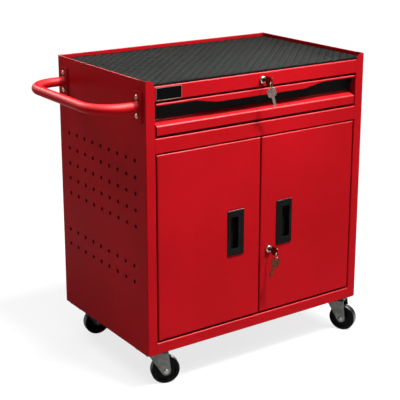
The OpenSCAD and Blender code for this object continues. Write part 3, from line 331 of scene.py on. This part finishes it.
# finishes that only a few pieces wear
keyFinish = platedSteel("keyPlate", keyLook)
axleFinish = platedSteel("axlePlate", axleLook)
for finish, names in ((redCoat("handleLitCoat", handleLitLook), ("handle_tube",)),
                      (redCoat("sideCoat", sideLook), ("left_side_panel", "right_side_panel")),
                      (blackPlastic("linerLitPlastic", linerLitLook), ("drawer_liner",)),
                      (keyFinish, ("door_key_ring", "drawer_key_ring")),
                      (platedSteel("keyRedReflection", keyRedReflectionLook), ("door_key", "door_spare_key", "drawer_key")),
                      (platedSteel("plugPlate", plugLook),
                       ("door_lock_plug", "drawer_lock_plug", "hinge_pins")),
                      (platedSteel("screwRedReflection", screwRedReflectionLook), ("handle_screws",))):
    for name in names:
        nodes[name].material_slots[0].material = finish

axes = {joint["name"]: tuple(joint["axis"]) for joint in frame["joints"]}
for corner in ("front_left", "front_right", "rear_left", "rear_right"):
    rubber = wheelRubber(corner + "_rubber", wheelLook, axes[corner + "_roll"])
    nodes[corner + "_wheel"].material_slots[0].material = rubber
    nodes[corner + "_axle"].material_slots[0].material = axleFinish
print("finishes set on", len(nodes), "nodes")


def finishPiece(bm, name, body, materials):  # mesh to a piece that rides on a body
    bmesh.ops.recalc_face_normals(bm, faces=bm.faces)
    mesh = bpy.data.meshes.new(name)
    bm.to_mesh(mesh)
    bm.free()
    for material in materials:
        mesh.materials.append(material)
    piece = bpy.data.objects.new(name, mesh)
    scene.collection.objects.link(piece)
    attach(piece, body)
    return piece


def block(bm, place, size):
    spot = Matrix.Translation(place) @ Matrix.Diagonal(size.to_4d())
    return bmesh.ops.create_cube(bm, size=1.0, matrix=spot)["verts"]


def frontFace(faces):
    return min(faces, key=lambda f: f.calc_center_median().y)


def softEdges(bm, edges, width, segments):
    bmesh.ops.bevel(bm, geom=edges, offset=width, offset_type="OFFSET", affect="EDGES", segments=segments,
                    profile=0.5, material=-1)


# worktop mat with slanting ribs, and a darker strip along its front: a darker copy of the rubber, painted shade on
# the front strip and front face
mat = {"pitch": 0.0096, "deep": 0.0007, "steps": 8, "turn": 45.0, "border": 0.010, "facing": 0.9}


def cutMat(bm, point, way, clear):
    everything = bm.verts[:] + bm.edges[:] + bm.faces[:]
    bmesh.ops.bisect_plane(bm, geom=everything, plane_co=point, plane_no=way, clear_outer=clear)


def ribbedMat():
    low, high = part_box("top_mat")
    centre = (low + high) / 2
    reach = (high.x - low.x + high.y - low.y) / 2
    count = int(2 * reach / mat["pitch"]) * mat["steps"]
    bm = bmesh.new()
    bmesh.ops.create_grid(bm, x_segments=count, y_segments=1, size=reach)
    for v in bm.verts:  # wide ribs and narrow grooves
        v.co.z = -mat["deep"] * (0.5 - 0.5 * math.cos(2 * math.pi * v.co.x / mat["pitch"])) ** 2
    bmesh.ops.rotate(bm, verts=bm.verts, matrix=Matrix.Rotation(math.radians(-mat["turn"]), 3, "Z"))
    bmesh.ops.translate(bm, verts=bm.verts, vec=(centre.x, centre.y, high.z))
    for corner, way in ((low, (-1, 0, 0)), (low, (0, -1, 0)), (high, (1, 0, 0)), (high, (0, 1, 0))):
        cutMat(bm, corner, way, True)
    cutMat(bm, low + Vector((0, mat["border"], 0)), (0, -1, 0), False)
    # the front strip wears the darker copy: painted shade
    for f in bm.faces:
        f.material_index = int(f.calc_center_median().y < low.y + mat["border"])
    rim = [e for e in bm.edges if e.is_boundary]
    skirt = bmesh.ops.extrude_edge_only(bm, edges=rim)["geom"]
    for v in skirt:
        if isinstance(v, bmesh.types.BMVert):
            v.co.z = low.z
    # faces looking forward wear the darker copy too: painted shade
    for f in bm.faces:
        if abs(f.normal.y) > mat["facing"] and f.calc_center_median().y < centre.y:
            f.material_index = 1
    bmesh.ops.contextual_create(bm, geom=[e for e in bm.edges if e.is_boundary])
    rubbers = [finishes["rubber_mat"], matRubber("matShadedEdge", matShadedEdgeLook)]
    piece = finishPiece(bm, "ribbedMat", "cabinet", rubbers)
    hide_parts("top_mat")


ribbedMat()
print("mat made")


# bare plate at the left end of the top rail, with a thin metal frame
badge = {"left": -0.315, "right": -0.243, "bottom": 0.7505, "top": 0.7815, "thick": 0.0012,
         "corner": 0.0015, "cornerSteps": 3, "soft": 0.0003, "softSteps": 2,
         "border": 0.0007, "sunkWide": 0.0002, "sunk": 0.0003}
fieldLook = {"clean": rgb(4, 4, 4), "smeared": rgb(14, 14, 15), "gloss": 0.02,
             "smear": (70.0, 4.0), "smearAt": (0.5, 0.8), "smearShare": 0.3,
             "grain": (900.0, 2.0), "grainBump": (0.04, 0.0003), "rough": 0.22, "smearRough": 0.2}


def badgeField(name, look):
    p = Paint(name, **{"Specular IOR Level": look["gloss"]})
    smear = p.noise(look["smear"])
    share = p.step(smear, look["smearAt"]) * look["smearShare"]
    return p.use(Base_Color=p.mix(share, look["clean"], look["smeared"]),
                 Roughness=look["rough"] + smear * look["smearRough"],
                 Normal=p.bump(p.noise(look["grain"]), look["grainBump"]))


def badgePlate():
    size = Vector((badge["right"] - badge["left"], badge["thick"], badge["top"] - badge["bottom"]))
    place = Vector((middleX + (badge["left"] + badge["right"]) / 2, frontY - badge["thick"] / 2,
                    (badge["bottom"] + badge["top"]) / 2))
    bm = bmesh.new()
    block(bm, place, size)
    corners = [e for e in bm.edges if abs(e.verts[0].co.y - e.verts[1].co.y) > badge["thick"] / 2]
    softEdges(bm, corners, badge["corner"], badge["cornerSteps"])
    softEdges(bm, list(frontFace(bm.faces).edges), badge["soft"], badge["softSteps"])
    face = frontFace(bm.faces)
    bmesh.ops.inset_region(bm, faces=[face], thickness=badge["border"], depth=0.0)
    bmesh.ops.inset_region(bm, faces=[face], thickness=badge["sunkWide"], depth=-badge["sunk"])
    face.material_index = 1
    materials = [keyFinish, badgeField("badgeField", fieldLook)]
    finishPiece(bm, "badgePlate", "cabinet", materials)


badgePlate()


# second key of the upper lock, the same as the one on the door but hanging the other way
upperKey = {"lean": -42.0, "seat": (-0.0008, 0.0, 0.0008), "merge": 1e-6}


def upperSpareKey():
    ringLow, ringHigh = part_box("drawer_key_ring")
    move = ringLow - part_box("door_key_ring")[0]
    hole = Vector(((ringLow.x + ringHigh.x) / 2, (ringLow.y + ringHigh.y) / 2, ringLow.z))
    lean = Matrix.Rotation(math.radians(upperKey["lean"]), 3, "Y")
    bm = bmesh.new()
    bm.from_mesh(nodes["door_spare_key"].data)
    bmesh.ops.remove_doubles(bm, verts=bm.verts, dist=upperKey["merge"])
    bmesh.ops.translate(bm, verts=bm.verts, vec=move)
    bmesh.ops.rotate(bm, verts=bm.verts, cent=hole, matrix=lean)
    bmesh.ops.translate(bm, verts=bm.verts, vec=upperKey["seat"])  # hangs on the ring without cutting it
    finishPiece(bm, "upperSpareKey", "drawer_ring", [keyFinish])


upperSpareKey()


# weld fillets where the handle tube meets its plates
weld = {"wire": 0.0016, "around": 40, "section": 8}


def handleWelds():
    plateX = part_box("handle_plates")[0].x
    tubeLow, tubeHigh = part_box("handle_tube")
    radius = (tubeHigh.z - tubeLow.z) / 2
    high = (tubeHigh.z + tubeLow.z) / 2
    bm = bmesh.new()
    for y in (tubeLow.y + radius, tubeHigh.y - radius):
        top = Vector((plateX, y, high + radius))
        ring = bmesh.ops.create_circle(bm, cap_ends=False, segments=weld["section"], radius=weld["wire"],
                                       matrix=Matrix.Translation(top))["verts"]
        edges = list({e for v in ring for e in v.link_edges})
        bmesh.ops.rotate(bm, verts=ring, cent=top, matrix=Matrix.Rotation(math.radians(90), 3, "X"))
        bmesh.ops.spin(bm, geom=edges, cent=(plateX, y, high), axis=(1, 0, 0), angle=2 * math.pi,
                       steps=weld["around"], use_merge=True, use_duplicate=False)
    for f in bm.faces:
        f.smooth = True
    finishPiece(bm, "handleWelds", "cabinet", [finishes["red_paint"]])


handleWelds()


# weld beads between rails and stiles, ground nearly flush; each rail has its bead's two ends above its foot
seam = {"wide": 0.0026, "proud": 0.00015, "deep": 0.0005, "soft": 0.00012, "softSteps": 2,
        "rails": {"top_panel": (0.001, 0.036), "middle_rail": (0.001, 0.037), "bottom_panel": (0.001, 0.029)}}


def railSeams():
    bm = bmesh.new()
    for rail, (start, end) in seam["rails"].items():
        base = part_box(rail)[0].z
        for x in (leftSide[1].x, rightSide[0].x):
            size = Vector((seam["wide"], seam["proud"] + seam["deep"], end - start))
            place = Vector((x, frontY - seam["proud"] + size.y / 2, base + (start + end) / 2))
            bead = {f for v in block(bm, place, size) for f in v.link_faces}
            softEdges(bm, list(frontFace(bead).edges), seam["soft"], seam["softSteps"])
    finishPiece(bm, "railSeams", "cabinet", [finishes["red_paint"]])


railSeams()
print("small pieces made")


# pale floor, seen by the camera with a share of plain white so that its shadows stay pale
ground = {"light": rgb(168, 168, 168), "dark": rgb(165, 165, 165), "gloss": 0.05, "cloud": (0.7, 3.0),
          "rough": 0.8, "cloudRough": 0.1, "glow": 1.25, "share": 0.62, "size": 80.0}


def paleFloor():
    p = Paint("paleFloor", **{"Specular IOR Level": ground["gloss"]})
    cloud = p.noise(ground["cloud"])
    p.use(Base_Color=p.mix(cloud, ground["light"], ground["dark"]),
          Roughness=ground["rough"] + cloud * ground["cloudRough"])
    seen = p.node("ShaderNodeLightPath", {}, {}, "Is Camera Ray")
    glow = p.node("ShaderNodeEmission", {}, {"Strength": ground["glow"]})
    lit = Tone(p, p.shader.outputs[0])
    blend = p.node("ShaderNodeMixShader", {}, {0: seen * ground["share"], 1: lit, 2: glow})
    p.tree.links.new(blend.socket, p.tree.nodes["Material Output"].inputs["Surface"])
    bm = bmesh.new()
    bmesh.ops.create_grid(bm, x_segments=1, y_segments=1, size=ground["size"])
    mesh = bpy.data.meshes.new("floor")
    bm.to_mesh(mesh)
    bm.free()
    mesh.materials.append(p.material)
    floor = bpy.data.objects.new("floor", mesh)
    scene.collection.objects.link(floor)


paleFloor()

# studio light: two suns, two boxes above the front, and boxes behind for the edges and the wheels
suns = {"front": {"way": (0.13, -0.38, 0.92), "angle": 0.12, "strength": 2.45},
        "above": {"way": (0.05, -0.25, 0.97), "angle": 1.1, "strength": 3.1}}
boxes = {"frontBox": {"place": (0.32, -0.95, 2.6), "aim": (0.06, -0.2, 0.85), "size": (0.14, 0.14),
                      "spread": 64, "power": 20.5},
         "keyBox": {"place": (1.45, -1.2, 2.5), "aim": (0.06, -0.2, 0.85), "size": (1.3, 0.3),
                    "spread": 70, "power": 12.0},
         "edgeBox": {"place": (-0.75, 1.4, 1.75), "aim": (-0.4, 0.0, 0.75), "size": (0.8, 0.5),
                     "spread": 60, "power": 4.4},
         "wheelBox": {"place": (2.4, 1.3, 0.6), "aim": (0.4, -0.2, 0.5), "size": (1.6, 1.1),
                      "spread": 60, "power": 7.0}}
sky = {"light": 0.13, "backdrop": 1.02, "colour": (1.0, 1.0, 1.0, 1.0)}


def hang(name, data, way):  # a lamp that shines along a direction
    light = bpy.data.objects.new(name, data)
    light.rotation_euler = way.to_track_quat("-Z", "Y").to_euler()
    scene.collection.objects.link(light)
    return light


def studio():
    for name, lamp in suns.items():
        data = bpy.data.lights.new(name, "SUN")
        data.angle = lamp["angle"]
        data.energy = lamp["strength"]
        hang(name, data, -Vector(lamp["way"]))
    for name, lamp in boxes.items():
        data = bpy.data.lights.new(name, "AREA")
        data.shape = "RECTANGLE"
        data.size, data.size_y = lamp["size"]
        data.spread = math.radians(lamp["spread"])
        data.energy = lamp["power"]
        box = hang(name, data, Vector(lamp["aim"]) - Vector(lamp["place"]))
        box.location = lamp["place"]
        box.visible_camera = False


def whiteSky():  # the camera sees a white backdrop, and the part a weaker light
    world = bpy.data.worlds.new("studio")
    world.use_nodes = True
    tree = world.node_tree
    light = tree.nodes["Background"]
    backdrop = tree.nodes.new("ShaderNodeBackground")
    for shade, strength in ((light, sky["light"]), (backdrop, sky["backdrop"])):
        shade.inputs["Strength"].default_value = strength
        shade.inputs["Color"].default_value = sky["colour"]
    seen = tree.nodes.new("ShaderNodeLightPath")
    blend = tree.nodes.new("ShaderNodeMixShader")
    tree.links.new(seen.outputs["Is Camera Ray"], blend.inputs[0])
    tree.links.new(light.outputs[0], blend.inputs[1])
    tree.links.new(backdrop.outputs[0], blend.inputs[2])
    tree.links.new(blend.outputs[0], tree.nodes["World Output"].inputs["Surface"])
    scene.world = world


studio()
whiteSky()

# camera at the photograph's angle; its place is counted from the cabinet's middle and front
view = {"place": (-1.5992, -2.0421, 1.2821), "heading": 34.611, "down": 15.105,
        "lens": 94.47, "sensor": 36.0, "shift": -0.125, "far": 100.0}


def camera():
    data = bpy.data.cameras.new("camera")
    data.sensor_width = view["sensor"]
    data.lens = view["lens"]
    data.shift_y = view["shift"]
    data.clip_end = view["far"]
    eye = bpy.data.objects.new("camera", data)
    eye.location = Vector(view["place"]) + Vector((middleX, frontY, 0.0))
    eye.rotation_euler = (math.radians(90 - view["down"]), 0.0, math.radians(-view["heading"]))
    scene.collection.objects.link(eye)
    scene.camera = eye


camera()
print("stage set")
